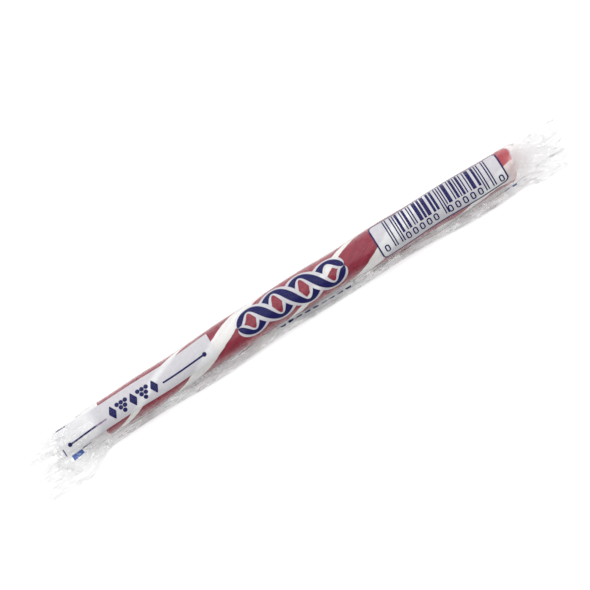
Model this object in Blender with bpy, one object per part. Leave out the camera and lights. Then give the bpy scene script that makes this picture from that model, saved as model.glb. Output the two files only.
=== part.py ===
"""Hard candy stick, sealed in its clear film wrapper.

A round stick of pulled sugar with two twisted stripes lies on its back in a flow-wrapped
tube of film. The tube is tight over the top of the stick, its slack hangs to one side as a
long ridge that reaches the table, and past each end of the stick it closes to a flat,
pleated seal with a pinked edge. The sealed wrapper is one closed body.

Units are metres, +Z up. +X runs along the stick to the end with the shorter seal, and -Y is
the side of the slack. The origin lies on the flat that the stick rests on, below its middle.
"""

import math

import bmesh
import bpy

MM = 0.001

# The stick
CANDY_LENGTH = 130 * MM
CANDY_DIAMETER = 9.5 * MM
TWIST_PITCH = 48 * MM
LOBE_HEIGHT = 0.12 * MM
REST_FLAT_HALF_WIDTH = 1.0 * MM

# The tube of film round the stick, and the ridge of its slack, seen from the stick's axis
FILM_GAP = 0.05 * MM
SLACK_REACH = 8.5 * MM
SLACK_REACH_WAVE = 0.35 * MM
SLACK_ANGLE = math.radians(209)
SLACK_ANGLE_WAVE = math.radians(3)
SLACK_WAVE_LENGTH = 41 * MM
FLANK_HUG = 0.35
FLOOR_CLEARANCE = 0.12 * MM

# The flat seals: how far each reaches past the stick, how wide it is, where it lies, the length
# over which the tube closes to it, and the share of its width that its pleats take up at its edge
LEFT_SEAL = {
    "reach": 21 * MM,
    "width": 16.8 * MM,
    "middle_y": -4.5 * MM,
    "tight_edge_z": 5.2 * MM,
    "slack_edge_z": 1.2 * MM,
    "droop": 1.3 * MM,
    "closing_length": 8.5 * MM,
    "gathered": 0.0,
}
RIGHT_SEAL = {
    "reach": 15 * MM,
    "width": 15.2 * MM,
    "middle_y": -2.0 * MM,
    "tight_edge_z": 6.0 * MM,
    "slack_edge_z": 1.3 * MM,
    "droop": 0.6 * MM,
    "closing_length": 6.5 * MM,
    "gathered": 0.14,
}
CLOSING_STARTS_INSIDE = 1.2 * MM
SEAL_THICKNESS = 0.7 * MM
PLEAT_WIDTH = 4.2 * MM
PLEAT_HEIGHT = 0.75 * MM
PINKING_DEPTH = 0.55 * MM

# How finely the body is divided
RING_POINTS = 48
BODY_STEP = 2.6 * MM
SEAL_STEP = 1.25 * MM

CANDY_RADIUS = CANDY_DIAMETER / 2
TUBE_RADIUS = CANDY_RADIUS + FILM_GAP
REST_DROP = TUBE_RADIUS - math.sqrt(TUBE_RADIUS**2 - REST_FLAT_HALF_WIDTH**2)
AXIS_HEIGHT = TUBE_RADIUS - REST_DROP
HALF_LENGTH = CANDY_LENGTH / 2


def smooth(value):
    """0 to 1 with level ends."""
    value = min(max(value, 0.0), 1.0)
    return value * value * (3 - 2 * value)


def twist(x):
    """How far the stripes have turned round the stick at x."""
    return -2 * math.pi * x / TWIST_PITCH


def stick_radius(angle, x):
    """The stick is slightly lobed, and the lobes turn with its stripes. Its underside is even."""
    lobes = LOBE_HEIGHT * math.cos(2 * (angle - twist(x)))
    above = smooth((math.sin(angle) + 0.75) / 0.9)
    return TUBE_RADIUS + lobes * above


def slack_tip(x):
    """(reach, angle) of the ridge of slack at x, seen from the stick's axis."""
    wave = math.sin(2 * math.pi * x / SLACK_WAVE_LENGTH)
    reach = SLACK_REACH + SLACK_REACH_WAVE * wave
    angle = SLACK_ANGLE + SLACK_ANGLE_WAVE * math.sin(2 * math.pi * x / (1.7 * SLACK_WAVE_LENGTH))
    return reach, angle


def tube_outline(x):
    """Points round the tube at x: the film leaves the stick at a tangent and meets at the ridge."""
    reach, tip_angle = slack_tip(x)
    opening = math.acos(TUBE_RADIUS / reach)
    fine = 720
    points = []
    for step in range(fine):
        angle = tip_angle - 2 * math.pi * step / fine
        off_tip = abs((angle - tip_angle + math.pi) % (2 * math.pi) - math.pi)
        radius = stick_radius(angle, x)
        if off_tip < opening:
            stretched = TUBE_RADIUS / math.cos(opening - off_tip) - TUBE_RADIUS
            radius += stretched * (1 - FLANK_HUG * math.sin(math.pi * off_tip / opening))
        y = radius * math.cos(angle)
        z = AXIS_HEIGHT + radius * math.sin(angle)
        points.append((y, max(z, FLOOR_CLEARANCE if y < -2 * REST_FLAT_HALF_WIDTH else 0.0)))
    return evenly_spaced(points)


def evenly_spaced(points):
    """RING_POINTS points at equal steps along a closed line, from its first point on."""
    lengths = [math.dist(a, b) for a, b in zip(points, points[1:] + points[:1])]
    step = sum(lengths) / RING_POINTS
    spaced = []
    walked = 0.0
    index = 0
    for number in range(RING_POINTS):
        target = number * step
        while walked + lengths[index] < target:
            walked += lengths[index]
            index += 1
        share = (target - walked) / lengths[index]
        start, end = points[index], points[(index + 1) % len(points)]
        spaced.append(tuple(a + (b - a) * share for a, b in zip(start, end)))
    return spaced


def seal_outline(seal, past_end):
    """Points round the flat seal, in the tube's order: across its top layer, and back below."""
    half = RING_POINTS // 2
    along = min(past_end / seal["reach"], 1.0)
    growth = smooth(along * 1.4)
    points = []
    for number in range(RING_POINTS):
        on_top = number < half
        share = number / half if on_top else 2 - number / half
        width = seal["width"] * (1 - seal["gathered"] * along)
        y = seal["middle_y"] + (share - 0.5) * width
        middle_z = seal["slack_edge_z"] + (seal["tight_edge_z"] - seal["slack_edge_z"]) * share
        middle_z -= seal["droop"] * along * share
        pleats = math.sin(2 * math.pi * y / PLEAT_WIDTH + 1.5 * along)
        pleats += 0.5 * math.sin(2 * math.pi * y / (0.61 * PLEAT_WIDTH) - 2.0 * along)
        middle_z += PLEAT_HEIGHT * growth * pleats * smooth(share * 3)
        half_thick = SEAL_THICKNESS / 2 * (0.35 + 0.65 * math.sin(math.pi * share))
        middle_z = max(middle_z, half_thick + FLOOR_CLEARANCE)
        points.append((y, middle_z + (half_thick if on_top else -half_thick)))
    return points


def stations():
    """(x, seal or None, distance past the stick's end) of each ring, from left to right."""
    found = []
    for seal, side in ((LEFT_SEAL, -1), (RIGHT_SEAL, 1)):
        length = seal["reach"] + CLOSING_STARTS_INSIDE
        count = round(length / SEAL_STEP)
        for number in range(count + 1):
            past = length * number / count - CLOSING_STARTS_INSIDE
            found.append((side * (HALF_LENGTH + past), seal, past))
    middle = CANDY_LENGTH - 2 * CLOSING_STARTS_INSIDE
    count = round(middle / BODY_STEP)
    for number in range(1, count):
        found.append((-middle / 2 + middle * number / count, None, 0.0))
    return sorted(found, key=lambda station: station[0])


def ring_at(x, seal, past_end):
    """The points of one ring: the tube's outline, the seal's, or a blend where the tube closes."""
    tube = tube_outline(max(min(x, HALF_LENGTH), -HALF_LENGTH))
    if seal is None:
        return [(x, y, z) for y, z in tube]
    closing = seal["closing_length"] + CLOSING_STARTS_INSIDE
    closed = smooth((past_end + CLOSING_STARTS_INSIDE) / closing)
    flat = seal_outline(seal, max(past_end, 0.0))
    side = math.copysign(1, x)
    at_edge = past_end > seal["reach"] - SEAL_STEP / 2
    ring = []
    for number, (round_point, flat_point) in enumerate(zip(tube, flat)):
        y, z = (a + (b - a) * closed for a, b in zip(round_point, flat_point))
        pinking = PINKING_DEPTH * (number % 2) if at_edge else 0.0
        ring.append((x - side * pinking, y, z))
    return ring


def close_edge(mesh, ring, outward):
    """Fills a cut edge with a strip between its top and bottom layers."""
    half = RING_POINTS // 2
    for number in range(half):
        corners = [ring[number], ring[number + 1], ring[-number - 1], ring[-number]]
        corners = list(dict.fromkeys(corners))
        mesh.faces.new(corners if outward else corners[::-1])


def sealed_wrapper(name, material):
    """The stick in its sealed tube of film, lofted through the rings."""
    mesh = bmesh.new()
    rings = [[mesh.verts.new(point) for point in ring_at(*station)] for station in stations()]
    for left, right in zip(rings, rings[1:]):
        for number in range(RING_POINTS):
            after = (number + 1) % RING_POINTS
            mesh.faces.new((left[number], left[after], right[after], right[number]))
    close_edge(mesh, rings[0], False)
    close_edge(mesh, rings[-1], True)
    bmesh.ops.recalc_face_normals(mesh, faces=mesh.faces)
    bmesh.ops.triangulate(mesh, faces=mesh.faces)
    data = bpy.data.meshes.new(name)
    mesh.to_mesh(data)
    mesh.free()
    data.shade_smooth()
    data.set_sharp_from_angle(angle=math.radians(40))
    data.materials.append(material)
    return bpy.data.objects.new(name, data)


def wrapped_sugar():
    """Grape-red sugar under glossy film."""
    material = bpy.data.materials.new("wrapped_candy")
    material.use_nodes = True
    shader = material.node_tree.nodes["Principled BSDF"]
    shader.inputs["Base Color"].default_value = (0.20, 0.025, 0.045, 1)
    shader.inputs["Roughness"].default_value = 0.25
    shader.inputs["Metallic"].default_value = 0.0
    return material


def main():
    for item in list(bpy.data.objects):
        bpy.data.objects.remove(item)
    parts = bpy.data.collections.new("hard_candy_stick")
    bpy.context.scene.collection.children.link(parts)
    parts.objects.link(sealed_wrapper("sealed_candy_stick", wrapped_sugar()))


main()
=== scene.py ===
"""A hard candy stick in its clear, printed film wrapper.

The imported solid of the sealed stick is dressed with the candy, the film round it and the ink
between the film's faces, and set on a white table under soft studio light. The film is made
flat, as a web, then rolled round the stick, and the ink is laid out on the same flat web and
rolled with it.

On the web, X runs along the stick, and Y is the distance round it from the line on its top,
towards the side where the film is tight. Units are metres.
"""

import contextlib
import functools
import math

import bmesh
import bpy
import numpy as np
from bpy.props import FloatProperty, FloatVectorProperty, IntProperty, PointerProperty
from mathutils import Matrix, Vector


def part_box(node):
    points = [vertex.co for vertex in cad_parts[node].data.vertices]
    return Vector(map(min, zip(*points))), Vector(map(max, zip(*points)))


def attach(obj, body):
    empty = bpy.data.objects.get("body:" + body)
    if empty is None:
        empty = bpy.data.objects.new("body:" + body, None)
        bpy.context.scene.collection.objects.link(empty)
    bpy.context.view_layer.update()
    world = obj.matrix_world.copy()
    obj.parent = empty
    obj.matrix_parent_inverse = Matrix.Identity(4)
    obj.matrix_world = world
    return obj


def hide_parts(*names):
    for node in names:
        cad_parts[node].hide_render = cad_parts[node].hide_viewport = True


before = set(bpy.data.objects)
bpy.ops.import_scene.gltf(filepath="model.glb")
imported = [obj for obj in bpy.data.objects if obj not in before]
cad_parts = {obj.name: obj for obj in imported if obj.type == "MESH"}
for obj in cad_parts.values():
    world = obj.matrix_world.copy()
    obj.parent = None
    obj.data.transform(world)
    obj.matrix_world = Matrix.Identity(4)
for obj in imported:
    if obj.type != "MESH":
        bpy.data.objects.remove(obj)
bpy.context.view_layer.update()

bl_info = {
    "name": "Wrapped Candy Stick",
    "version": (1, 0, 0),
    "blender": (4, 5, 0),
    "location": "View3D > Sidebar > Candy",
    "description": "Builds a striped hard candy stick in its clear printed wrapper",
    "category": "Add Mesh",
}

MM = 0.001


def mm(*values):
    """Millimetres as metres."""
    return tuple(value * MM for value in values)


BODY = "root"
NODE = "sealed_candy_stick"
NODE_LOW, NODE_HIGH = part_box(NODE)

# The stick and the tube of film round it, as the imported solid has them
HALF_LENGTH = 65 * MM
TUBE_RADIUS = 4.8 * MM
TWIST_PITCH = 48 * MM
LOBE_HEIGHT = 0.12 * MM
LOBES_FROM, LOBES_EASING = -0.75, 0.9
REST_FLAT_HALF_WIDTH = 1.0 * MM
AXIS_HEIGHT = math.sqrt(TUBE_RADIUS**2 - REST_FLAT_HALF_WIDTH**2)
FLANK_HUG = 0.35
FLOOR_CLEARANCE = 0.12 * MM
SLACK_REACH_WAVE = 0.35 * MM
SLACK_ANGLE_WAVE = math.radians(3)
SLACK_WAVE_LENGTH = 41 * MM
ANGLE_WAVE_STRETCH = 1.7
CLOSING_STARTS_INSIDE = 1.2 * MM

# The flat seals, left and right. From "flat_from" on, as a share of the way across from the
# slack edge, the film is calm under the print, and from LATE_FROM on its top layer closes later.
# A "belly" over 1 lifts the middle of a seal.
SEALS = {
    "reach": (-NODE_LOW.x - HALF_LENGTH, NODE_HIGH.x - HALF_LENGTH),
    "width": mm(16.8, 15.2),
    "middle_y": mm(-4.5, -2.0),
    "tight_edge_z": mm(5.2, 6.0),
    "slack_edge_z": mm(1.2, 1.3),
    "droop": mm(1.3, 0.6),
    "closing_length": mm(8.5, 6.5),
    "late_closing": mm(4.0, 0.0),
    "gathered": (0.0, 0.14),
    "pleats": (0.6, 1.0),
    "crumple": mm(0.7, 1.0),
    "facet": mm(2.9, 2.0),
    "facet_seed": (5, 11),
    "flat_from": (0.45, 1.0),
    "belly": (1.8, 1.0),
}
LEFT_SEAL, RIGHT_SEAL = ({name: pair[side] for name, pair in SEALS.items()} for side in (0, 1))
LATE_FROM, LATE_EASING = 0.25, 0.3
CALM, CALM_EASING = 0.85, 0.12
SEAL_HALF_GAP, SEAL_FULLNESS = 0.13 * MM, 0.4

# The seals' pleats, wide and narrow: (height, width, how far they shift towards the cut edge)
PLEAT_WIDTH = 4.2 * MM
PLEAT_HEIGHT = 0.75 * MM
PLEATS = ((1.0, 1.0, 1.5), (0.5, 0.61, -2.0))
PLEATS_GROW, PLEATS_RISE = 1.4, 3
RIB_WIDTH = 1.1 * MM
RIB_HEIGHT = 0.05 * MM
RIBS_FROM, RIBS_GROW = 0.5, 3

# The seals' crumples: flat facets, larger ones and finer ones on top
CRUMPLE_START = 3.0 * MM
CRUMPLE_FADE, CRUMPLE_FADES_FROM, CRUMPLE_FADE_SPEED = 0.6, 0.5, 2.5
FACET_STRETCH = 1.5
FACET_BEND, FACET_BEND_SIZE, FACET_LEAN = 0.45, 1.3, 0.5
FINE_FACET, FINE_SHARE, FINE_SEED = 0.42, 0.3, 3

# The folds of the slack, wide and narrow: (height, closer along, closer down, seed), and where
# the slack is pinched, with the folds that fan out from each pinch: (how far down, slope)
FOLD_WIDTH = 1.4 * MM
FOLD_LENGTH = 9 * MM
FOLD_HEIGHT = 0.6 * MM
FOLD_FULLNESS = 0.7
WIDE_FOLDS, NARROW_FOLDS = (1.0, 1.0, 1.0, 21), (0.5, 2.3, 2.1, 24)
PINCHES = mm(-47.9, -9, 29)
PINCH_LENGTH = 5 * MM
PINCH_DEPTH, PINCH_CROWDING = 0.7, 0.6
FAN_FOLDS = ((1.0, -0.5), (1.6, 0.2), (2.2, 0.9), (2.9, 1.7))
FAN_WIDTH, FAN_HEIGHT, FAN_START = 0.24, 0.8, 0.25

# The slight bow of the stick towards its ends, and the crease of the film over the left one
LEFT_BOW, LEFT_BOW_START, LEFT_BOW_LENGTH = mm(1.2, -4, 52)
RIGHT_BOW, RIGHT_BOW_START, RIGHT_BOW_LENGTH = mm(0.35, 35, 30)
CREASE_X, CREASE_WIDTH, CREASE_HEIGHT = mm(-63.8, 0.7, 0.06)
CREASE_ACROSS, CREASE_REACH = 0.75, 0.25

# The two stripes of the hand-pulled stick: where along it they are at which angle, in degrees
# from the tight side over the top, and how wide they are there
WIDE_STRIPE = (
    (-66, 358, 4.6), (-36, 154, 4.6), (-30, 114, 4.6), (-25, 82, 4.6), (-21.5, 62, 4.8),
    (14.7, -177, 4.6), (17.8, -196, 4.5), (20.4, -218, 4.4), (22.6, -232, 4.4), (66, -523, 4.4),
)
NARROW_STRIPE = (
    (-66, 217, 2.1), (-53.2, 127, 2.1), (-44.3, 63, 2.0), (-38.8, 34, 2.1), (13.4, -317, 2.1),
    (18.6, -352, 2.1), (50, -565, 2.1), (58, -600, 3.6), (66, -597, 8.2),
)
STRIPE_EASING = 2 * MM

# The flat web that the tube is rolled from, and the skin that it is rolled on
WEB_WIDTH = 34.87 * MM
WEB_EDGE = -12.3 * MM
RING_SAMPLES = 720
SKIN_STATIONS = 1100

# How deep each layer lies below the outer face of the film
NAVY_DEPTH = 0.010 * MM
WHITE_DEPTH = 0.022 * MM
LAYER_STEP = 0.005 * MM
INK_THICKNESS = 0.003 * MM
CANDY_DEPTH = 0.12 * MM

# Towards the long seal the print runs a little askew on the web
DRIFT = 0.75 * MM
DRIFT_START, DRIFT_LENGTH = mm(-76, 12)
DRIFT_ENDS, DRIFT_END_LENGTH = mm(-27, 7)

# How finely the flat print is cut before it is rolled on
FINE_STEPS = mm(0.3, 0.2)
BAR_STEPS = mm(0.4, 0.25)

# How softly a stripe shows through white ink, and where the red stops showing at the ends
SHOW_THROUGH_BLUR = 1.2 * MM
SHOWS_TO, SHOWS_EASING = mm(2.5, 3.5)

# Where the navy ink is rubbed thin, over the end of the candy, and how patchily
RUBBED_FROM, RUBBED_TO = mm(-65.0, -59.8)
RUB_STARTS_OVER, RUB_ENDS_OVER = mm(1.2, 1)
RUB, RUB_PATCHES, RUB_PLACE, RUB_SEED = 0.9, 0.4, 80, 41

# The clear film: how much it mirrors head on and at a slant, and the cells it crumples into,
# (size, tilt, brightness of the creases). The slack is more crumpled than the seals.
MIRRORS, MIRRORS_AT_SLANT, SLANT_POWER = 0.028, 0.6, 5.0
FILM_CELLS = ((2.6 * MM, 0.55, 0.07), (1.1 * MM, 0.35, 0.05))
CREASE_LINE = 0.15 * MM
SLACK_CRUMPLED = 1.7

# The sugar: how far a stripe's edge wanders and how soft it is, where the right end is painted a
# lighter red as painted light coming in there and how much, and the colour of the specks
STRIPE_WANDER, STRIPE_BLUR = mm(0.16, 0.05)
END_LIGHT_FROM, END_LIGHT_TO = HALF_LENGTH - 5.5 * MM, HALF_LENGTH - 1.5 * MM
END_LIGHT_ON_RED, END_LIGHT_ON_WHITE = 0.85, 0.3
SPECK = (0.36, 0.12, 0.15)

NOISE_CELLS = 64
SHARP_FROM = math.radians(35)

# The studio: where its white tent ends above the slack, and how bright it is
TENT_TILT = math.radians(23)
TENT_SOFTNESS = 0.23
TENT_BRIGHT, TENT_DARK = 0.68, 0.1
HORIZON_BRIGHT, HORIZON_FADES, HORIZON_TOP = 0.5, 0.1, 0.45

# Through how many faces of film light may pass, where a seal is seen edge-on
FILM_FACES = 40


# -------------------------------- settings


def setting(kind, **fixed):
    """A maker of settings of one kind."""
    def make(name, description, default, **limits):
        return kind(name=name, description=description, default=default, **fixed, **limits)
    return make


a_number = setting(FloatProperty)
a_count = setting(IntProperty)
a_length = setting(FloatProperty, unit="LENGTH")
an_angle = setting(FloatProperty, subtype="ANGLE")
a_power = setting(FloatProperty, unit="POWER")
a_colour = setting(FloatVectorProperty, subtype="COLOR", min=0, max=1)


class CandySettings(bpy.types.PropertyGroup):
    """Sizes and colours of the pulled sugar."""

    stripe_place: an_angle("Stripe Place", "Turns both stripes round the stick", 0.0)
    extra_twist: a_number(
        "Extra Twist", "Turns of the stripes in each metre, on top of the twist they have", 0.0
    )
    stripe_width: a_number(
        "Stripe Width", "Width of the stripes, against that of the real ones", 1.0,
        min=0.2, max=2.0,
    )
    end_rounding: a_length("End Rounding", "Radius of the worn edge at each end", 2.2 * MM)
    left_slant: a_number("Left Slant", "Slope of the end at the long seal", 0.25)
    right_slant: a_number("Right Slant", "Slope of the end at the short seal", 0.24)
    red: a_colour("Red", "Colour of the sugar", (0.245, 0.030, 0.050))
    # Painted light: the brighter red painted at the right end, where light comes in
    painted_end_light: a_colour(
        "End Red", "Colour of the right end, where light comes in", (0.42, 0.07, 0.085)
    )
    white: a_colour("White", "Colour of the stripes", (0.75, 0.74, 0.725))


class WrapperSettings(bpy.types.PropertyGroup):
    """Sizes of the film and of its slack."""

    thickness: a_length("Film Thickness", "Thickness of the film", 0.03 * MM)
    slack_reach: a_length("Slack Reach", "From the stick's axis to the ridge of slack", 8.5 * MM)
    slack_angle: an_angle("Slack Angle", "Where the ridge hangs, from the tight side", 3.6477)
    tint: a_colour("Tint", "What the film lets through", (0.993, 0.993, 0.994))


class PrintSettings(bpy.types.PropertyGroup):
    """Inks, and the main sizes of the print."""

    white: a_colour("White Ink", "Colour of the white fields", (0.66, 0.66, 0.675))
    white_on_red: a_colour(
        "White Ink On Red", "Colour of the white fields where red shows through",
        (0.525, 0.515, 0.545),
    )
    navy: a_colour("Navy Ink", "Colour of the lines and shapes", (0.012, 0.012, 0.085))
    rubbed_navy: a_colour(
        "Rubbed Navy", "Colour of navy ink that is rubbed thin", (0.30, 0.22, 0.33)
    )
    blue: a_colour("Blue Ink", "Colour of the small marks", (0.075, 0.135, 0.36))
    rope_eyes: a_count("Rope Eyes", "Openings along the rope ornament", 4, min=2)
    bars: a_count("Bars", "Bars in the striped panel", 30, min=4)


class StageSettings(bpy.types.PropertyGroup):
    """The table, the lights and the camera."""

    table: a_colour("Table", "Colour of the table", (0.93, 0.93, 0.93))
    glow: a_number("Glow", "How much the lit table shines from below", 0.08)
    softbox: a_power("Softbox", "Power of each softbox", 12.0)
    camera_distance: a_length("Camera Distance", "From the stick up to the camera", 0.9)


# -------------------------------- shape of the film


def smooth(value):
    """0 to 1 with level ends."""
    value = np.clip(value, 0.0, 1.0)
    return value * value * (3 - 2 * value)


def peak(value):
    """Up from 0 to 1 and back again, while the value runs from 0 to 1."""
    return 1 - np.abs(2 * value - 1)


# Even steps round the film from the ridge of slack, as shares of the whole way, and where each
# lies on a flat seal: how far across from its slack edge, and whether in its top layer
ROUND = np.linspace(0, 1, RING_SAMPLES + 1)
ACROSS = peak(ROUND)
ON_TOP = ROUND < 0.5


def cell_of(a, b, seed):
    """Random heights at the four corners of each place's cell, and how far into it the place is."""
    lattice = np.random.default_rng(seed).uniform(-1, 1, (NOISE_CELLS, NOISE_CELLS))
    column, row = np.floor(a).astype(int), np.floor(b).astype(int)
    corners = [
        lattice[(column + right) % NOISE_CELLS, (row + above) % NOISE_CELLS]
        for above in (0, 1) for right in (0, 1)
    ]
    return corners, a - column, b - row


def noise(a, b, seed):
    """Soft random hills between -1 and 1, about one to each unit of a and b."""
    (start, right, left, end), across, up = cell_of(a, b, seed)
    across, up = smooth(across), smooth(up)
    low = start * (1 - across) + right * across
    high = left * (1 - across) + end * across
    return low * (1 - up) + high * up


def facets(a, b, seed):
    """Flat random facets between -1 and 1 with sharp creases, about one to each unit."""
    place = a / FACET_BEND_SIZE, b / FACET_BEND_SIZE
    a = a + FACET_BEND * noise(*place, seed + 1)
    b = b + FACET_BEND * noise(*place[::-1], seed + 2)
    (start, right, left, end), across, up = cell_of(a + FACET_LEAN * b, b, seed)
    near = start + across * (right - start) + up * (left - start)
    far = end + (1 - across) * (left - end) + (1 - up) * (right - end)
    return np.where(across + up < 1, near, far)


def stick_radius(angle, x):
    """Radius of the tube where it is tight. Faint lobes turn with the stripes."""
    lobes = LOBE_HEIGHT * np.cos(2 * (angle + 2 * math.pi * x / TWIST_PITCH))
    return TUBE_RADIUS + lobes * smooth((np.sin(angle) - LOBES_FROM) / LOBES_EASING)


def bow(x):
    """How far the stick bends at x. Towards its ends it is not quite straight."""
    left = LEFT_BOW * smooth((LEFT_BOW_START - x) / LEFT_BOW_LENGTH)
    return -left - RIGHT_BOW * smooth((x - RIGHT_BOW_START) / RIGHT_BOW_LENGTH)


def off_table(y, z):
    """The height z, with the slack kept a little above the table."""
    return np.maximum(z, FLOOR_CLEARANCE * (y < -2 * REST_FLAT_HALF_WIDTH))


def folds_of(kind, x, down):
    """Creased folds of one kind, down the slack at x."""
    height, closer_along, closer_down, seed = kind
    along = np.full_like(down, closer_along * x / FOLD_LENGTH)
    return height * facets(along, closer_down * down, seed)


def fan_of_folds(x, down):
    """Long thin folds that fan out from each pinch towards the long seal."""
    height = np.zeros_like(down)
    for place in PINCHES:
        away = (place - x) / FOLD_LENGTH
        kept = FAN_HEIGHT * smooth(1 + away / FAN_START) * math.exp(-max(away, 0))
        for start, slope in FAN_FOLDS:
            height += kept * np.exp(-(((down - start - slope * away) / FAN_WIDTH) ** 2))
    return height


def tube_ring(x, slack_reach, slack_angle):
    """(y, z) at equal steps round the tube at x, from the ridge of slack over the top."""
    wave = 2 * math.pi * x / SLACK_WAVE_LENGTH
    reach = slack_reach + SLACK_REACH_WAVE * math.sin(wave)
    tip = slack_angle + SLACK_ANGLE_WAVE * math.sin(wave / ANGLE_WAVE_STRETCH)
    opening = math.acos(TUBE_RADIUS / reach)
    angle = tip - np.linspace(0, 2 * math.pi, RING_SAMPLES + 1)
    off_tip = np.abs((angle - tip + math.pi) % (2 * math.pi) - math.pi)
    loose = np.clip(1 - off_tip / opening, 0, 1)
    stretched = TUBE_RADIUS / np.cos(loose * opening) - TUBE_RADIUS
    stretched *= 1 - FLANK_HUG * np.sin(math.pi * loose)
    radius = stick_radius(angle, x) + stretched
    y, z = radius * np.cos(angle), AXIS_HEIGHT + radius * np.sin(angle)
    z = off_table(y, z)
    walked = np.concatenate(([0], np.cumsum(np.hypot(np.diff(y), np.diff(z)))))
    even = np.linspace(0, walked[-1], RING_SAMPLES + 1)
    pinch = sum(math.exp(-(((x - place) / PINCH_LENGTH) ** 2)) for place in PINCHES)
    down = (1 + PINCH_CROWDING * pinch) * TUBE_RADIUS / FOLD_WIDTH * np.tan(loose * opening)
    folds = folds_of(WIDE_FOLDS, x, down)
    folds += folds_of(NARROW_FOLDS, x, down) - PINCH_DEPTH * pinch
    folds += fan_of_folds(x, down)
    folds *= FOLD_HEIGHT * np.sin(math.pi * loose) ** FOLD_FULLNESS * (angle > tip - opening)
    y, z = y + folds * math.cos(tip - opening), z + folds * math.sin(tip - opening)
    off_axis = np.hypot(y, z - AXIS_HEIGHT)
    push = np.where(folds < 0, np.maximum(stick_radius(angle, x) / off_axis, 1), 1)
    y, z = y * push, AXIS_HEIGHT + (z - AXIS_HEIGHT) * push
    z = off_table(y, z)
    return np.interp(even, walked, y) + bow(x), np.interp(even, walked, z)


def calm(seal):
    """How much of its wrinkles a seal keeps across its width. Under the print it is calmer."""
    return 1 - CALM * smooth((ACROSS - seal["flat_from"]) / CALM_EASING)


def seal_ring(seal, past_end):
    """(y, z) round the flat seal: across its top layer, and back below."""
    along = min(past_end / seal["reach"], 1.0)
    y = seal["middle_y"] + (ACROSS - 0.5) * seal["width"] * (1 - seal["gathered"] * along)
    rise = 1 - (1 - ACROSS) ** seal["belly"]
    z = seal["slack_edge_z"] + (seal["tight_edge_z"] - seal["slack_edge_z"]) * rise
    z -= seal["droop"] * along * ACROSS
    pleats = sum(
        height * np.sin(2 * math.pi * y / (width * PLEAT_WIDTH) + shift * along)
        for height, width, shift in PLEATS
    )
    pleats *= seal["pleats"] * calm(seal)
    z += PLEAT_HEIGHT * smooth(PLEATS_GROW * along) * pleats * smooth(PLEATS_RISE * ACROSS)
    ribs = smooth(RIBS_GROW * (along - RIBS_FROM))
    z += RIB_HEIGHT * np.sin(2 * math.pi * y / RIB_WIDTH) * ribs
    gap = SEAL_HALF_GAP * np.sin(math.pi * ACROSS) ** SEAL_FULLNESS
    return y, np.maximum(z, gap + FLOOR_CLEARANCE) + np.where(ON_TOP, gap, -gap)


def film_ring(x, slack_reach, slack_angle):
    """(y, z) round the film at x: the tube, the seal, or a blend where the tube closes."""
    tube_x = min(max(x, -HALF_LENGTH), HALF_LENGTH)
    tube_y, tube_z = tube_ring(tube_x, slack_reach, slack_angle)
    crease = CREASE_HEIGHT * math.exp(-(((x - CREASE_X) / CREASE_WIDTH) ** 2))
    tube_z = tube_z + crease * smooth(1 - np.abs(ACROSS - CREASE_ACROSS) / CREASE_REACH)
    past_end = abs(x) - HALF_LENGTH
    if past_end < -CLOSING_STARTS_INSIDE:
        return tube_y, tube_z
    seal = LEFT_SEAL if x < 0 else RIGHT_SEAL
    late = seal["late_closing"] * smooth((ACROSS - LATE_FROM) / LATE_EASING) * ON_TOP
    closing = seal["closing_length"] + CLOSING_STARTS_INSIDE + late
    closed = smooth((past_end + CLOSING_STARTS_INSIDE) / closing)
    seal_y, seal_z = seal_ring(seal, max(past_end, 0.0))
    y, z = tube_y + (seal_y - tube_y) * closed, tube_z + (seal_z - tube_z) * closed
    size, seed = seal["facet"], seal["facet_seed"]
    along, across = np.full_like(y, x / size / FACET_STRETCH), ACROSS * seal["width"] / size
    crumple = facets(along, across, seed)
    crumple += FINE_SHARE * facets(along / FINE_FACET, across / FINE_FACET, seed + FINE_SEED)
    crumple *= calm(seal) * smooth(past_end / CRUMPLE_START)
    fade = smooth(CRUMPLE_FADE_SPEED * (past_end / seal["reach"] - CRUMPLE_FADES_FROM))
    z += seal["crumple"] * crumple * (1 - CRUMPLE_FADE * fade)
    return y, np.maximum(z, FLOOR_CLEARANCE)


@functools.lru_cache
def skin_of(slack_reach, slack_angle):
    """The film's skin for these sizes, made once."""
    return Skin(slack_reach, slack_angle)


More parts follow.
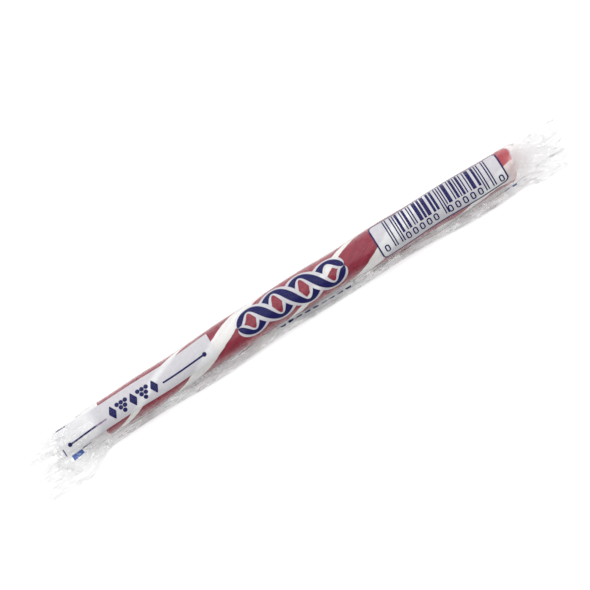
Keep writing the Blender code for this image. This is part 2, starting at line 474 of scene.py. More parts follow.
class Skin:
    """The outer face of the film as a table of rings, read at any place on the flat web."""

    X_STEP, TURN_STEP = 0.15 * MM, 0.004
    LAST = SKIN_STATIONS - 1.001

    def __init__(self, slack_reach, slack_angle):
        stations = np.linspace(NODE_LOW.x, NODE_HIGH.x, SKIN_STATIONS)
        rings = [np.column_stack(film_ring(x, slack_reach, slack_angle)) for x in stations]
        self.rings = np.array(rings)

    def point(self, x, turn):
        """The place at x, that share of the way round from the ridge."""
        column = (x - NODE_LOW.x) / (NODE_HIGH.x - NODE_LOW.x) * (SKIN_STATIONS - 1)
        column = np.clip(column, 0, self.LAST)
        row = (turn % 1) * RING_SAMPLES
        i, j = column.astype(int), np.minimum(row.astype(int), RING_SAMPLES - 1)
        u, v = (column - i)[:, None], (row - j)[:, None]
        near = self.rings[i, j] * (1 - v) + self.rings[i, j + 1] * v
        far = self.rings[i + 1, j] * (1 - v) + self.rings[i + 1, j + 1] * v
        return np.column_stack((x, near * (1 - u) + far * u))

    def at(self, x, y, height):
        """The place on the film of a point (x, y) of the web, that high above the outer face."""
        turn = (y - WEB_EDGE) / WEB_WIDTH
        along = self.point(x + self.X_STEP, turn) - self.point(x - self.X_STEP, turn)
        along[:, 0] = 2 * self.X_STEP
        round_stick = self.point(x, turn + self.TURN_STEP) - self.point(x, turn - self.TURN_STEP)
        outward = np.cross(along, round_stick)
        outward /= np.linalg.norm(outward, axis=1)[:, None]
        return self.point(x, turn) + outward * height


# -------------------------------- modelling by hand


def let_go():
    """Object mode, with nothing selected."""
    if bpy.context.object and bpy.context.object.mode != "OBJECT":
        bpy.ops.object.mode_set(mode="OBJECT")
    bpy.ops.object.select_all(action="DESELECT")


def pick(*pieces):
    """Selects the pieces, the last one active."""
    let_go()
    for piece in pieces:
        piece.select_set(True)
    bpy.context.view_layer.objects.active = pieces[-1]


def added(name):
    """The primitive that was just added, under its name."""
    piece = bpy.context.object
    piece.name = name
    piece.data.name = name
    return piece


@contextlib.contextmanager
def editing(piece):
    """Edit mode on the piece, with all of it selected."""
    pick(piece)
    bpy.ops.object.mode_set(mode="EDIT")
    bpy.ops.mesh.select_all(action="SELECT")
    yield
    bpy.ops.object.mode_set(mode="OBJECT")


def select_only(piece, kind, wanted):
    """In edit mode, selects the edges or the faces that are wanted."""
    bpy.ops.mesh.select_mode(type=kind)
    mesh = bmesh.from_edit_mesh(piece.data)
    for part in mesh.edges if kind == "EDGE" else mesh.faces:
        part.select_set(wanted(part))
    bmesh.update_edit_mesh(piece.data)


def thicken(piece, thickness):
    """Gives a skin its thickness, inwards."""
    pick(piece)
    bpy.ops.object.modifier_add(type="SOLIDIFY")
    modifier = piece.modifiers[-1]
    modifier.thickness, modifier.offset = thickness, -1
    bpy.ops.object.modifier_apply(modifier=modifier.name)


def points_of(piece):
    flat = np.empty(len(piece.data.vertices) * 3)
    piece.data.vertices.foreach_get("co", flat)
    return flat.reshape(-1, 3)


def move_points(piece, points):
    piece.data.vertices.foreach_set("co", np.ascontiguousarray(points, float).ravel())
    piece.data.update()


def mark_points(piece, name, values):
    """Keeps a number or a vector for each point, for the finish to read."""
    kind, field = ("FLOAT", "value") if values.ndim == 1 else ("FLOAT_VECTOR", "vector")
    marks = piece.data.attributes.new(name, kind, "POINT")
    marks.data.foreach_set(field, values.ravel())


def rest_at_origin(piece):
    """Puts the piece's place into its mesh."""
    pick(piece)
    bpy.ops.object.transform_apply(location=True, rotation=True, scale=True)


def plate(x, y, width, height, rounding, turn=0.0, segments=5):
    """A flat plate with rounded corners on the web, centred at x and y."""
    let_go()
    bpy.ops.mesh.primitive_plane_add(size=1)
    piece = added("plate")
    with editing(piece):
        bpy.ops.transform.resize(value=(width, height, 1))
        bpy.ops.mesh.bevel(
            offset=rounding, segments=segments, affect="VERTICES", clamp_overlap=True
        )
    piece.rotation_euler.z = turn
    piece.location = (x, y, 0)
    rest_at_origin(piece)
    return piece


def disc(radius):
    """A flat disc on the web."""
    let_go()
    bpy.ops.mesh.primitive_circle_add(vertices=28, radius=radius, fill_type="NGON")
    piece = added("disc")
    with editing(piece):
        bpy.ops.mesh.inset(thickness=0.3 * radius)
    return piece


def lozenge(width, height):
    """A flat lozenge on the web, its corners a little blunt."""
    let_go()
    bpy.ops.mesh.primitive_circle_add(vertices=4, radius=0.5, fill_type="NGON")
    piece = added("lozenge")
    with editing(piece):
        bpy.ops.transform.resize(value=(width, height, 1))
        bpy.ops.mesh.bevel(offset=0.12 * width, segments=3, affect="VERTICES")
    return piece


def frame_of(x, y, width, height, rounding, line):
    """A rounded frame on the web: the plate's outline, a line wide."""
    piece = plate(x, y, width, height, rounding)
    with editing(piece):
        bpy.ops.mesh.inset(thickness=line, use_even_offset=True)
        bpy.ops.mesh.delete(type="FACE")
    return piece


def spread(master, places):
    """Copies a flat part, each copy with its own mesh, to places (x, y[, wider, taller])."""
    made = []
    for x, y, *stretch in places:
        pick(master)
        bpy.ops.object.duplicate(linked=False)
        copy = bpy.context.object
        copy.location = (x, y, 0)
        copy.scale = (*(stretch or (1, 1)), 1)
        rest_at_origin(copy)
        made.append(copy)
    pick(master)
    bpy.ops.object.delete()
    return made


def slice_flat(piece, *steps):
    """Cuts a flat piece into a fine grid, so that it can bend."""
    low, high = points_of(piece).min(0), points_of(piece).max(0)
    with editing(piece):
        for axis, step in enumerate(steps):
            direction = np.eye(3)[axis]
            count = math.ceil((high[axis] - low[axis]) / step)
            for number in range(1, count):
                place = low[axis] + (high[axis] - low[axis]) * number / count
                bpy.ops.mesh.select_all(action="SELECT")
                bpy.ops.mesh.bisect(plane_co=tuple(place * direction), plane_no=tuple(direction))


def roll_on(piece, skin, depth):
    """Rolls a flat piece round the stick, below the film's face, and gives it its thickness."""
    x, y, _ = points_of(piece).T
    drift = smooth((x - DRIFT_START) / DRIFT_LENGTH)
    drift *= DRIFT * smooth((DRIFT_ENDS + DRIFT_END_LENGTH - x) / DRIFT_END_LENGTH)
    move_points(piece, skin.at(x, y + drift, -depth))
    thicken(piece, INK_THICKNESS)


def hand_over(piece, material):
    """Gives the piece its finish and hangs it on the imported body."""
    piece.data.materials.clear()
    piece.data.materials.append(material)
    pick(piece)
    bpy.ops.object.shade_smooth_by_angle(angle=SHARP_FROM)
    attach(piece, BODY)
    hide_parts(NODE)


# -------------------------------- finishes


def shade(colour, share):
    """The colour, made darker or lighter."""
    return tuple(share * part for part in colour)


class Finish:
    """The nodes of a material or of the world, added one by one."""

    def __init__(self, owner):
        self.owner = owner
        owner.use_nodes = True
        self.nodes, self.links = owner.node_tree.nodes, owner.node_tree.links

    def node(self, kind, inputs=None, **settings):
        made = self.nodes.new("ShaderNode" + kind)
        for name, value in settings.items():
            setattr(made, name, value)
        self.feed(made, inputs or {})
        return made

    def feed(self, node, inputs):
        """Links or sets the node's inputs. Colours are given without alpha."""
        for name, value in inputs.items():
            socket = node.inputs[name]
            if isinstance(value, bpy.types.NodeSocket):
                self.links.new(value, socket)
            else:
                socket.default_value = (*value, 1) if socket.type == "RGBA" else value

    def here(self):
        """The object's own coordinates."""
        return self.node("TexCoord").outputs["Object"]

    def mark(self, name, output="Fac"):
        """What is kept for each point of the piece."""
        return self.node("Attribute", attribute_name=name).outputs[output]

    def grain(self, scale, detail=2.0, stretch=(1, 1, 1), where=None):
        """A noise pattern on the object's own coordinates, or on those given."""
        place = self.node("Mapping", {"Vector": where or self.here(), "Scale": stretch})
        return self.node(
            "TexNoise", {"Vector": place.outputs[0], "Scale": scale, "Detail": detail}
        ).outputs["Fac"]

    def ramp(self, value, low, high, to_low=0.0, to_high=1.0, **settings):
        sockets = {"Value": value, "From Min": low, "From Max": high,
                   "To Min": to_low, "To Max": to_high}
        return self.node("MapRange", sockets, **settings).outputs[0]

    def blend(self, factor, one, other, way="MIX"):
        """Mixes two colours. The sockets 6 and 7 are those for colours."""
        sockets = {"Factor": factor, 6: one, 7: other}
        return self.node("Mix", sockets, data_type="RGBA", blend_type=way).outputs[2]

    def math(self, operation, one, other):
        return self.node("Math", {0: one, 1: other}, operation=operation).outputs[0]

    def vector(self, operation, one, other=(0, 0, 0)):
        sockets = {0: one, "Scale" if operation == "SCALE" else 1: other}
        return self.node("VectorMath", sockets, operation=operation).outputs[0]


def sugar(candy):
    """Pulled sugar: grape red with white stripes, faint streaks and pale specks."""
    finish = Finish(bpy.data.materials.new("pulled_sugar"))
    wander = finish.ramp(finish.grain(420, 3), 0.3, 0.7, -STRIPE_WANDER, STRIPE_WANDER)
    edge = finish.math("ADD", finish.mark("stripe"), wander)
    white_share = finish.ramp(edge, -STRIPE_BLUR, STRIPE_BLUR)
    streaks = finish.ramp(finish.grain(800, 4, where=finish.mark("pull", "Vector")), 0.35, 0.7)
    specks = finish.ramp(finish.grain(1900), 0.66, 0.74, 0.0, 0.35)
    red = finish.blend(streaks, shade(candy.red, 0.86), shade(candy.red, 1.16))
    red = finish.blend(specks, red, SPECK)
    x = finish.node("SeparateXYZ", {0: finish.here()}).outputs["X"]
    # Painted light: towards the right end the red and the white are painted a lighter red, where
    # light comes in
    near_end = finish.ramp(x, END_LIGHT_FROM, END_LIGHT_TO)
    lit = finish.math("MULTIPLY", near_end, END_LIGHT_ON_RED)
    red = finish.blend(lit, red, candy.painted_end_light)
    white = finish.blend(streaks, shade(candy.white, 0.9), candy.white)
    lit = finish.math("MULTIPLY", near_end, END_LIGHT_ON_WHITE)
    white = finish.blend(lit, white, candy.painted_end_light)
    dents = {"Height": finish.grain(900, 3), "Distance": 0.04 * MM, "Strength": 0.5}
    finish.feed(finish.nodes["Principled BSDF"], {
        "Base Color": finish.blend(white_share, red, white),
        "Roughness": finish.ramp(finish.grain(500), 0.3, 0.7, 0.22, 0.34),
        "Specular IOR Level": 0.3,
        "Normal": finish.node("Bump", dents).outputs[0],
    })
    return finish.owner


def crumpled_cells(finish, size, feature):
    """Cells of about this size, stretched along the stick and bent, as film creases into."""
    place = finish.here()
    bend = finish.node("TexNoise", {"Vector": place, "Scale": 0.35 / size, "Detail": 2.0})
    bend = finish.vector("SUBTRACT", bend.outputs["Color"], (0.5, 0.5, 0.5))
    place = finish.vector("ADD", place, finish.vector("SCALE", bend, 2.2 * size))
    place = finish.node("Mapping", {"Vector": place, "Scale": (0.45, 1, 1)}).outputs[0]
    return finish.node("TexVoronoi", {"Vector": place, "Scale": 1 / size}, feature=feature)


def clear_film(wrapper):
    """Clear glossy film: it lets light through and mirrors some, more at a slant."""
    finish = Finish(bpy.data.materials.new("clear_film"))
    finish.nodes.remove(finish.nodes["Principled BSDF"])
    loose = finish.mark("loose")
    facet = finish.node("NewGeometry").outputs["Normal"]
    creases = 0.0
    for size, tilt, crease in FILM_CELLS:
        cells = crumpled_cells(finish, size, "F1").outputs["Color"]
        off = finish.vector("SUBTRACT", cells, (0.5, 0.5, 0.5))
        off = finish.vector("SCALE", off, finish.math("MULTIPLY", loose, tilt))
        facet = finish.vector("ADD", facet, off)
        border = crumpled_cells(finish, size, "DISTANCE_TO_EDGE").outputs["Distance"]
        line = finish.ramp(border, 0.0, CREASE_LINE / size, crease, 0.0)
        line = finish.math("MULTIPLY", line, finish.ramp(finish.grain(0.4 / size), 0.42, 0.62))
        creases = finish.math("ADD", creases, line)
    facet = finish.vector("NORMALIZE", facet)
    facing = finish.node("LayerWeight", {"Blend": 0.5, "Normal": facet}).outputs["Facing"]
    slant = finish.math("POWER", facing, SLANT_POWER)
    mirrored = finish.math("ADD", finish.math("MULTIPLY", slant, MIRRORS_AT_SLANT), MIRRORS)
    mirrored = finish.math("ADD", mirrored, finish.math("MULTIPLY", creases, loose))
    scratches = finish.ramp(finish.grain(700, 4, (0.12, 1, 1)), 0, 1, 0, 0.001 * MM)
    streaks = finish.ramp(finish.grain(1000, 3, (0.14, 1, 1)), 0, 1, 0, 0.05 * MM)
    height = finish.math("ADD", scratches, finish.math("MULTIPLY", streaks, loose))
    bump = finish.node("Bump", {"Height": height, "Distance": 1, "Strength": 1, "Normal": facet})
    gloss = finish.node("BsdfAnisotropic", {"Roughness": 0.06, "Normal": bump.outputs[0]})
    through = finish.node("BsdfTransparent", {"Color": wrapper.tint})
    sockets = {0: mirrored, 1: through.outputs[0], 2: gloss.outputs[0]}
    mixed = finish.node("MixShader", sockets).outputs[0]
    finish.feed(finish.nodes["Material Output"], {"Surface": mixed})
    return finish.owner


def ink(name, tone, tone_where_thin):
    """Printed ink with the faint mottle of a thin layer, and what shows where it is thinnest."""
    finish = Finish(bpy.data.materials.new(name))
    mottle = finish.ramp(finish.grain(1300, 3), 0.35, 0.65)
    mottle = finish.blend(mottle, (0.93, 0.93, 0.93), (1, 1, 1))
    tones = finish.blend(finish.mark("thin"), tone, tone_where_thin)
    finish.feed(finish.nodes["Principled BSDF"], {
        "Base Color": finish.blend(1.0, tones, mottle, "MULTIPLY"),
        "Roughness": finish.ramp(finish.grain(600), 0.3, 0.7, 0.30, 0.42),
        "Specular IOR Level": 0.1,
    })
    return finish.owner


# -------------------------------- the candy


def stripe_at(stripe, x, candy):
    """(angle, width) of a stripe at x, eased over the places it is set by."""
    places, turns, widths = np.array(stripe).T * ((MM,), (math.pi / 180,), (MM,))
    turn = sum(
        share * np.interp(x + shift, places, turns)
        for share, shift in ((0.25, -STRIPE_EASING), (0.5, 0.0), (0.25, STRIPE_EASING))
    )
    turn += candy.stripe_place - 2 * math.pi * candy.extra_twist * x
    return turn, candy.stripe_width * np.interp(x, places, widths)


def inside_stripe(angle, x, candy):
    """How far inside a white stripe a point is, round the stick, in metres."""
    found = np.full(len(x), -1.0)
    for stripe in (WIDE_STRIPE, NARROW_STRIPE):
        turn, width = stripe_at(stripe, x, candy)
        off = (angle - turn + math.pi) % (2 * math.pi) - math.pi
        found = np.maximum(found, width / 2 - np.abs(off) * TUBE_RADIUS)
    return found


class CANDY_OT_stick(bpy.types.Operator):
    """Make the striped stick of pulled sugar"""

    bl_idname = "candy.stick"
    bl_label = "Candy Stick"

    SIDES, LENGTH_CUTS, RIM_STEPS, FACE_RINGS = 144, 100, 8, 3
    FACE_RING = 0.75 * MM
    END_REACH = 4 * MM
    END_SHIFTS = mm(2.7, 0.1)
    CHOP_DEPTH, CHOP_SIZE = mm(0.25, 2.2)
    CHOP_PLACE, CHOP_SEED = 9, 31
    STRIPES_FROM = 0.45
    PULL_LENGTH = 0.1
    LEVEL = 1e-6

    def execute(self, context):
        candy = context.scene.candy
        radius = TUBE_RADIUS - CANDY_DEPTH
        let_go()
        bpy.ops.mesh.primitive_cylinder_add(
            vertices=self.SIDES, radius=radius, depth=2 * HALF_LENGTH, rotation=(0, math.pi / 2, 0)
        )
        piece = added("candy_stick")
        rest_at_origin(piece)
        self.divide(piece, candy.end_rounding)
        x, y, z = points_of(piece).T
        angle, inner = np.arctan2(z, y), np.hypot(y, z) / radius
        grown = inner * (stick_radius(angle, x) - CANDY_DEPTH)
        y, z = grown * np.cos(angle), grown * np.sin(angle)
        near_end = smooth((np.abs(x) - HALF_LENGTH + self.END_REACH) / self.END_REACH)
        chopped = np.where(x < 0, candy.left_slant, candy.right_slant) * y
        chopped += self.CHOP_DEPTH * noise(
            y / self.CHOP_SIZE + self.CHOP_PLACE, z / self.CHOP_SIZE + self.CHOP_PLACE,
            self.CHOP_SEED,
        )
        x = x + near_end * (chopped + np.where(x < 0, *self.END_SHIFTS))
        height = np.maximum(z + AXIS_HEIGHT, FLOOR_CLEARANCE)
        move_points(piece, np.column_stack((x, y + bow(x), height)))
        stripe = inside_stripe(angle, x, candy)
        mark_points(piece, "stripe", np.minimum(stripe, (inner - self.STRIPES_FROM) * radius))
        turned = angle - stripe_at(WIDE_STRIPE, x, candy)[0]
        pulled = self.PULL_LENGTH * x, grown * np.cos(turned), grown * np.sin(turned)
        mark_points(piece, "pull", np.column_stack(pulled))
        hand_over(piece, sugar(candy))
        return {"FINISHED"}

    def divide(self, piece, rounding):
        """Rounds the rim of each end, rings its face, and cuts the sides into short rings."""
        def length(edge):
            return abs(edge.verts[0].co.x - edge.verts[1].co.x)

        with editing(piece):
            select_only(piece, "EDGE", lambda edge: length(edge) < self.LEVEL)
            bpy.ops.mesh.bevel(offset=rounding, segments=self.RIM_STEPS, affect="EDGES")
            select_only(piece, "FACE", lambda face: len(face.verts) > 4)
            for _ in range(self.FACE_RINGS):
                bpy.ops.mesh.inset(thickness=self.FACE_RING)
            bpy.ops.mesh.poke()
            select_only(piece, "EDGE", lambda edge: length(edge) > HALF_LENGTH)
            bpy.ops.mesh.subdivide(number_cuts=self.LENGTH_CUTS)


# -------------------------------- the film


class CANDY_OT_film(bpy.types.Operator):
    """Roll the clear film round the stick and close its ends"""

    bl_idname = "candy.film"
    bl_label = "Film Wrapper"

    # The grid of the web, and what share of its lines lies in its end parts and in the slack
    COLUMNS, END_COLUMNS, END_LENGTH = 308, 0.68, 0.25
    ROWS, SLACK_ROWS, SLACK_SHARE = 160, 0.56, 0.4
    SLACK_EASING = 0.06
    PINKING_DEPTH, PINKED_MARGIN = mm(0.55, 1.5)
    PINKING_TEETH = 13
    WELD = 1e-7

    def execute(self, context):
        wrapper = context.scene.wrapper
        skin = skin_of(wrapper.slack_reach, wrapper.slack_angle)
        let_go()
        bpy.ops.mesh.primitive_grid_add(
            x_subdivisions=self.COLUMNS, y_subdivisions=self.ROWS, size=1
        )
        piece = added("film_wrapper")
        x, y, _ = points_of(piece).T + 0.5
        x = self.crowded(x, self.END_COLUMNS, self.END_LENGTH)
        x = NODE_LOW.x + x * (NODE_HIGH.x - NODE_LOW.x)
        turn = self.crowded(y, self.SLACK_ROWS, self.SLACK_SHARE)
        x = self.pinked(x, turn)
        move_points(piece, skin.at(x, WEB_EDGE + turn * WEB_WIDTH, 0.0))
        from_ridge = np.minimum(turn, 1 - turn)
        slack = smooth((self.SLACK_SHARE / 2 - from_ridge) / self.SLACK_EASING)
        seal = smooth((np.abs(x) - HALF_LENGTH) / CRUMPLE_START)
        mark_points(piece, "loose", np.maximum(SLACK_CRUMPLED * slack * (1 - seal), seal))
        with editing(piece):
            bpy.ops.mesh.remove_doubles(threshold=self.WELD)
        thicken(piece, wrapper.thickness)
        hand_over(piece, clear_film(wrapper))
        return {"FINISHED"}

    def crowded(self, share, lines, reach):
        """Moves the grid's lines so that this share of them takes up the reach at its ends."""
        return np.interp(share, (0, lines / 2, 1 - lines / 2, 1), (0, reach / 2, 1 - reach / 2, 1))

    def pinked(self, x, turn):
        """Pinks both cut edges: small teeth, the same through both layers of the seal."""
        tooth = peak(peak(turn) * self.PINKING_TEETH % 1)
        past = np.maximum(x - NODE_HIGH.x, NODE_LOW.x - x) + self.PINKED_MARGIN
        depth = self.PINKING_DEPTH * tooth * np.clip(past / self.PINKED_MARGIN, 0, 1)
        return x - np.sign(x) * depth


# -------------------------------- the print


def box_of(left, right, low, high):
    """(x, y, width, height) of a field between its edges."""
    return (left + right) / 2, (low + high) / 2, right - left, high - low


def over_red(points, candy):
    """How much the red of the candy shows through at each point: not over a stripe or a seal."""
    x, y, z = points.T
    stripe = inside_stripe(np.arctan2(z - AXIS_HEIGHT, y - bow(x)), x, candy)
    past_end = smooth((np.abs(x) - HALF_LENGTH + SHOWS_TO) / SHOWS_EASING)
    return 1 - np.maximum(smooth(0.5 + stripe / SHOW_THROUGH_BLUR), past_end)


def rubbed(points):
    """How thin the ink is rubbed at each point: patchy over the end of the candy."""
    x, y, _ = points.T
    rub = smooth((x - RUBBED_FROM) / RUB_STARTS_OVER) * smooth((RUBBED_TO - x) / RUB_ENDS_OVER)
    patches = noise(x / MM + RUB_PLACE, y / MM + RUB_PLACE, RUB_SEED)
    return rub * np.clip(RUB + RUB_PATCHES * patches, 0, 1)


def printed(context, name, parts, ink_name, depth, steps=FINE_STEPS):
    """Joins flat parts, rolls them on below the film's face and inks them."""
    inks, wrapper = context.scene.inks, context.scene.wrapper
    pick(*parts)
    if len(parts) > 1:
        bpy.ops.object.join()
    piece = added(name)
    slice_flat(piece, *steps)
    roll_on(piece, skin_of(wrapper.slack_reach, wrapper.slack_angle), depth)
    points, candy = points_of(piece), context.scene.candy
    mark_points(piece, "thin", over_red(points, candy) if ink_name == "white" else rubbed(points))
    tones = {
        "white": (inks.white, inks.white_on_red),
        "navy": (inks.navy, inks.rubbed_navy),
        "blue": (inks.blue, inks.blue),
    }[ink_name]
    name = ink_name + "_ink"
    material = bpy.data.materials.get(name) or ink(name, *tones)
    hand_over(piece, material)


class CANDY_OT_flavour_panel(bpy.types.Operator):
    """Print the white panel at the long seal, with its lines and bunches of berries"""

    bl_idname = "candy.flavour_panel"
    bl_label = "Flavour Panel"

    FIELD = (*box_of(*mm(-75.9, -27.3, -3.55, 3.87)), 0.35 * MM)
    LINES = (mm(-73.0, -1.45, -61.0, -0.95), mm(-30.4, -0.96, -43.6, -0.85))
    LINE, LINE_ROUNDING, DOT = mm(0.5, 0.2, 0.62)
    SHAPES_FROM, SHAPES_TO, SHAPE_ROW = mm(-58.8, -46.0, -0.47)
    SHAPES = 5
    LOZENGE = mm(2.3, 4.1)
    BERRY, BERRY_STEP = mm(0.62, 1.27)
    BERRY_ROWS, ROW_STEP = (3, 2, 1), 0.93

    def execute(self, context):
        printed(context, "flavour_field", [plate(*self.FIELD)], "white", WHITE_DEPTH)
        marks = self.lines() + self.shapes()
        printed(context, "flavour_marks", marks, "navy", NAVY_DEPTH)
        return {"FINISHED"}

    def lines(self):
        """A line on each side of the shapes, with a dot at its far end."""
        made = spread(disc(self.DOT), [line[:2] for line in self.LINES])
        for dot_x, dot_y, end_x, end_y in self.LINES:
            span = math.hypot(end_x - dot_x, end_y - dot_y)
            turn = math.atan2(end_y - dot_y, end_x - dot_x)
            middle = (dot_x + end_x) / 2, (dot_y + end_y) / 2
            made.append(plate(*middle, span, self.LINE, self.LINE_ROUNDING, turn))
        return made

    def shapes(self):
        """A row of bold shapes: lozenges between bunches of round berries."""
        places = np.linspace(self.SHAPES_FROM, self.SHAPES_TO, self.SHAPES)
        made = spread(lozenge(*self.LOZENGE), [(x, self.SHAPE_ROW) for x in places[::2]])
        berries = []
        for x in places[1::2]:
            for row, count in enumerate(self.BERRY_ROWS):
                y = self.SHAPE_ROW + (1 - row) * self.ROW_STEP * self.BERRY_STEP
                for place in range(count):
                    berries.append((x + (place - (count - 1) / 2) * self.BERRY_STEP, y))
        return made + spread(disc(self.BERRY), berries)


class CANDY_OT_rope_ornament(bpy.types.Operator):
    """Print the twisted rope in the middle, navy with a white edge"""

    bl_idname = "candy.rope_ornament"
    bl_label = "Rope Ornament"

    LEFT, RIGHT = mm(-19.4, 13.0)
    MIDDLE, SWING, STRAND, EDGE = mm(0.3, 3.8, 1.05, 0.9)
    SWING_LOSS = 0.25
    PLUMP, SWELL = 0.82, 0.3
    TAPER = 0.4
    COLUMNS, ROWS = 36, 10
    WELD = 0.01 * MM

    def execute(self, context):
        eyes = context.scene.inks.rope_eyes
        depth = NAVY_DEPTH + 3 * LAYER_STEP
        for level, above in enumerate(("under", "over")):
            stretches = [
                (eye, strand) for eye in range(eyes + 1) for strand in (0, 1)
                if (eye + strand) % 2 == level
            ]
            for name, width, ink_name in (
                ("edge", self.STRAND + self.EDGE, "white"), ("strand", self.STRAND, "navy"),
            ):
                parts = [self.ribbon(*stretch, eyes, width) for stretch in stretches]
                printed(context, f"rope_{name}_{above}", parts, ink_name, depth, ())
                depth -= LAYER_STEP
        return {"FINISHED"}

    def ribbon(self, crossing, strand, eyes, half_width):
        """A stretch of one strand, from the middle of one eye to the middle of the next."""
        let_go()
        bpy.ops.mesh.primitive_grid_add(
            x_subdivisions=self.COLUMNS, y_subdivisions=self.ROWS, size=1
        )
        piece = added("ribbon")
        points = points_of(piece)
        place = np.clip((crossing + points[:, 0]) / eyes, 0, 1)
        across = 2 * points[:, 1]
        x, y, slope = self.centre_line(place, strand, eyes)
        plump = half_width * (self.PLUMP + self.SWELL * np.cos(2 * math.pi * place * eyes))
        from_tip = np.minimum(place, 1 - place) * eyes / self.TAPER
        plump *= np.sqrt(1 - (1 - np.clip(from_tip, 0, 1)) ** 2)
        lean = np.hypot(1, slope)
        points[:, 0] = x - across * plump * slope / lean
        points[:, 1] = y + across * plump / lean
        move_points(piece, points)
        with editing(piece):
            bpy.ops.mesh.remove_doubles(threshold=self.WELD)
        return piece

    def centre_line(self, place, strand, eyes):
        """(x, y, slope) along a strand, place running from 0 to 1."""
        reach = self.RIGHT - self.LEFT
        phase = math.pi * place * eyes + math.pi * strand
        swing = self.SWING * (1 - self.SWING_LOSS * (2 * place - 1) ** 2)
        y = self.MIDDLE + swing * np.sin(phase)
        return self.LEFT + place * reach, y, swing * np.cos(phase) * math.pi * eyes / reach


class CANDY_OT_bar_panel(bpy.types.Operator):
    """Print the framed panel of bars at the short seal"""

    bl_idname = "candy.bar_panel"
    bl_label = "Bar Panel"

    LEFT, RIGHT, LOW, HIGH = mm(22.9, 61.9, -4.65, 6.1)
    CORNER, LINE, LEAN = mm(1.5, 0.42, 0.6)
    BARS_FROM, BARS_TO = mm(27.1, 58.3)
    BARS_LOW, BARS_HIGH, GUARD_LOW = mm(-0.93, 5.5, -3.15)
    BAR_ROUNDING = 0.05 * MM
    END_BARS, MIDDLE_BARS = 4, 2
    RING = mm(1.4, 2.1, 0.6, 0.38)
    RING_Y, LEFT_MARGIN, RIGHT_MARGIN = mm(-2.35, 2.2, 1.8)
    RING_ROWS = (mm(31.6, 2.15), mm(44.6, 2.25))
    RINGS_IN_ROW = 5

    def execute(self, context):
        box = (*box_of(self.LEFT, self.RIGHT, self.LOW, self.HIGH), self.CORNER)
        printed(context, "bar_field", [self.askew(plate(*box))], "white", WHITE_DEPTH)
        marks = [self.askew(frame_of(*box, self.LINE))]
        marks += self.bars(context.scene.inks.bars) + self.rings()
        printed(context, "bar_marks", marks, "navy", NAVY_DEPTH, BAR_STEPS)
        return {"FINISHED"}

    def askew(self, piece):
        """Leans the lower edge, so that it ends higher at the short seal."""
        points = points_of(piece)
        lower = points[:, 1] < self.GUARD_LOW
        middle, half = (self.LEFT + self.RIGHT) / 2, (self.RIGHT - self.LEFT) / 2
        points[lower, 1] += self.LEAN * (points[lower, 0] - middle) / half
        move_points(piece, points)
        return piece

    def bars(self, count):
        """Bars and gaps one to three modules wide. Those at the ends and the middle are longer."""
        widths = []
        for number in range(count):
            from_end = min(number, count - 1 - number)
            long = from_end < self.END_BARS or from_end > count / 2 - self.MIDDLE_BARS
            wide = 1 if long else 1 + (number * number + number // 3) % 5 // 2
            gap = 1 if long else 1 + (2 * number + number // 4) % 5 // 3
            widths.append((wide, 3 if number in (1, count - 3) else gap, long))
        module = (self.BARS_TO - self.BARS_FROM) / (sum(w + g for w, g, _ in widths) - 1)
        full = self.BARS_HIGH - self.BARS_LOW
        places, x = [], self.BARS_FROM
        for wide, gap, long in widths:
            low = self.GUARD_LOW if long else self.BARS_LOW
            middle = (low + self.BARS_HIGH) / 2
            places.append((x + wide * module / 2, middle, wide, (self.BARS_HIGH - low) / full))
            x += (wide + gap) * module
        return spread(plate(0, 0, module, full, self.BAR_ROUNDING, segments=2), places)

    def rings(self):
        """Small upright rings under the bars: two rows, and one ring at each side."""
        places = [self.LEFT + self.LEFT_MARGIN, self.RIGHT - self.RIGHT_MARGIN]
        for start, step in self.RING_ROWS:
            places += [start + number * step for number in range(self.RINGS_IN_ROW)]
        return spread(frame_of(0, 0, *self.RING), [(x, self.RING_Y) for x in places])


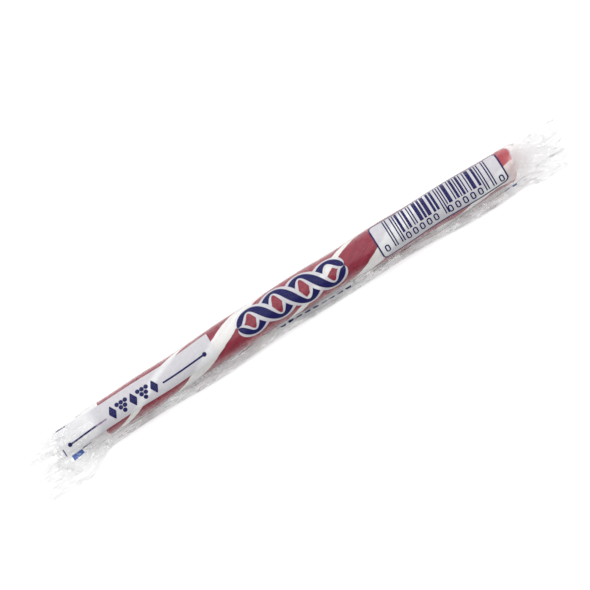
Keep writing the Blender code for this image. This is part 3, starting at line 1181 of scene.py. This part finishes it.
class CANDY_OT_small_marks(bpy.types.Operator):
    """Print the small marks: the row on the slack, the pale rows and the edge marks"""

    bl_idname = "candy.small_marks"
    bl_label = "Small Marks"

    ROW_FIELD = mm(1.0, -8.4, 23.6, 3.4, 0.8)
    ROW_DASHES, ROW_DASH = 9, mm(1.7, 0.8, 0.3)
    PALE_DASH, PALE_STEP, PALE_LINE = mm(0.8, 0.3, 0.08), 1.2 * MM, 1.1 * MM
    PALE_ROWS = (mm(-35.5, -23.7, -8.2), mm(40.2, 51.3, -8.4))
    EDGE_MARK = mm(3.4, 1.5, 0.1)
    EDGE_MARKS = (mm(-72.6, -5.1), (*mm(60.0, -8.1), 0.5, 0.4), (*mm(62.4, -8.8), 0.4, 0.6))
    STROKES = (
        mm(-73.1, 3.6, 2.9, 0.35, 0.12),
        mm(-69.3, -4.35, 2.9, 0.3, 0.1),
        mm(-75.4, -2.7, 0.3, 2.3, 0.1),
    )

    def execute(self, context):
        printed(context, "slack_field", [plate(*self.ROW_FIELD)], "white", WHITE_DEPTH)
        strokes = [plate(*stroke) for stroke in self.STROKES]
        marks = self.slack_row() + strokes
        printed(context, "slack_marks", marks, "navy", NAVY_DEPTH)
        printed(context, "pale_rows", self.pale_rows(), "white", NAVY_DEPTH)
        marks = spread(plate(0, 0, *self.EDGE_MARK), self.EDGE_MARKS)
        printed(context, "edge_marks", marks, "blue", NAVY_DEPTH)
        return {"FINISHED"}

    def slack_row(self):
        """A row of dashes on the slack."""
        x, y, width = self.ROW_FIELD[:3]
        step = width / (self.ROW_DASHES + 0.5)
        first = x - step * (self.ROW_DASHES - 1) / 2
        places = [(first + number * step, y) for number in range(self.ROW_DASHES)]
        return spread(plate(0, 0, *self.ROW_DASH), places)

    def pale_rows(self):
        """Two lines of tiny dashes in each pale row."""
        places = []
        for start, end, y in self.PALE_ROWS:
            for x in np.arange(start, end, self.PALE_STEP) + self.PALE_STEP / 2:
                places += [(x, y - self.PALE_LINE / 2), (x, y + self.PALE_LINE / 2)]
        return spread(plate(0, 0, *self.PALE_DASH, segments=2), places)


# -------------------------------- the stage


class CANDY_OT_stage(bpy.types.Operator):
    """Set the table, the soft light and the camera"""

    bl_idname = "candy.stage"
    bl_label = "Stage"

    TABLE_SIZE = 6
    SOFTBOX_PLACE, SOFTBOX_SIZE = (0.9, 0.28, 0.95), 1.1
    # Over what the camera stands, how it is turned, and how wide a view it has of the stick
    CAMERA_X, CAMERA_Y, VIEW_WIDTH = mm(-2.05611, -0.020945, 155.17)
    CAMERA_TURN = math.radians(-31.721804)
    SENSOR = 36

    def execute(self, context):
        stage = context.scene.stage
        self.table(stage)
        self.lights(stage)
        self.room(context)
        self.camera(context, stage)
        context.scene.view_settings.view_transform = "Standard"
        context.scene.cycles.transparent_max_bounces = FILM_FACES
        return {"FINISHED"}

    def table(self, stage):
        let_go()
        bpy.ops.mesh.primitive_plane_add(size=self.TABLE_SIZE)
        floor = added("table")
        finish = Finish(bpy.data.materials.new("table_white"))
        patches = finish.ramp(finish.grain(3), 0.3, 0.7)
        tone = finish.blend(patches, shade(stage.table, 0.985), stage.table)
        finish.feed(finish.nodes["Principled BSDF"], {
            "Base Color": tone, "Roughness": 0.9, "Specular IOR Level": 0.1,
            "Emission Color": tone, "Emission Strength": stage.glow,
        })
        floor.data.materials.append(finish.owner)

    def lights(self, stage):
        """A softbox past each end of the stick, a little towards its tight side."""
        x, y, z = self.SOFTBOX_PLACE
        for side in (-1, 1):
            bpy.ops.object.light_add(type="AREA", location=(x * side, y, z))
            lamp = bpy.context.object
            lamp.name = "softbox"
            lamp.data.shape = "SQUARE"
            lamp.data.size = self.SOFTBOX_SIZE
            lamp.data.energy = stage.softbox
            lamp.rotation_euler = (-lamp.location).to_track_quat("-Z", "Y").to_euler()

    def room(self, context):
        """A white tent over the tight side, open and dark on the side of the slack."""
        world = Finish(bpy.data.worlds.new("white_tent"))
        context.scene.world = world.owner
        soft = {"interpolation_type": "SMOOTHSTEP"}
        direction = world.node("TexCoord").outputs["Generated"]
        height = world.node("SeparateXYZ", {0: direction}).outputs["Z"]
        low = world.ramp(height, HORIZON_FADES, HORIZON_TOP, HORIZON_BRIGHT, TENT_DARK, **soft)
        tent = {0: direction, 1: (0, math.cos(TENT_TILT), math.sin(TENT_TILT))}
        side = world.node("VectorMath", tent, operation="DOT_PRODUCT").outputs["Value"]
        light = world.ramp(side, -TENT_SOFTNESS, TENT_SOFTNESS, low, TENT_BRIGHT, **soft)
        world.feed(world.nodes["Background"], {"Color": (1, 1, 1), "Strength": light})

    def camera(self, context, stage):
        """Straight above, turned so that the stick lies as it does in the photograph."""
        place = self.CAMERA_X, self.CAMERA_Y, AXIS_HEIGHT + stage.camera_distance
        bpy.ops.object.camera_add(location=place, rotation=(0, 0, self.CAMERA_TURN))
        camera = bpy.context.object
        camera.name = "photo_camera"
        camera.data.sensor_width = self.SENSOR
        camera.data.lens = self.SENSOR * stage.camera_distance / self.VIEW_WIDTH
        context.scene.camera = camera


# -------------------------------- the add-on


class CANDY_PT_pieces(bpy.types.Panel):
    """The pieces of the stick, in the order they are made"""

    bl_idname = "CANDY_PT_pieces"
    bl_label = "Candy Stick"
    bl_space_type = "VIEW_3D"
    bl_region_type = "UI"
    bl_category = "Candy"

    def draw(self, context):
        for group, _ in SETTINGS:
            settings, box = getattr(context.scene, group), self.layout.box()
            for name in settings.bl_rna.properties.keys():
                if name not in ("rna_type", "name"):
                    box.prop(settings, name)
        for operator in PIECES:
            self.layout.operator(operator.bl_idname)


SETTINGS = (
    ("candy", CandySettings),
    ("wrapper", WrapperSettings),
    ("inks", PrintSettings),
    ("stage", StageSettings),
)
PIECES = (
    CANDY_OT_stick,
    CANDY_OT_film,
    CANDY_OT_flavour_panel,
    CANDY_OT_rope_ornament,
    CANDY_OT_bar_panel,
    CANDY_OT_small_marks,
    CANDY_OT_stage,
)


def register():
    for name, group in SETTINGS:
        bpy.utils.register_class(group)
        setattr(bpy.types.Scene, name, PointerProperty(type=group))
    for operator in PIECES:
        bpy.utils.register_class(operator)
    bpy.utils.register_class(CANDY_PT_pieces)


def unregister():
    bpy.utils.unregister_class(CANDY_PT_pieces)
    for operator in reversed(PIECES):
        bpy.utils.unregister_class(operator)
    for name, group in reversed(SETTINGS):
        delattr(bpy.types.Scene, name)
        bpy.utils.unregister_class(group)


def main():
    register()
    for operator in PIECES:
        area, name = operator.bl_idname.split(".")
        getattr(getattr(bpy.ops, area), name)()
    let_go()


if __name__ == "__main__":
    main()
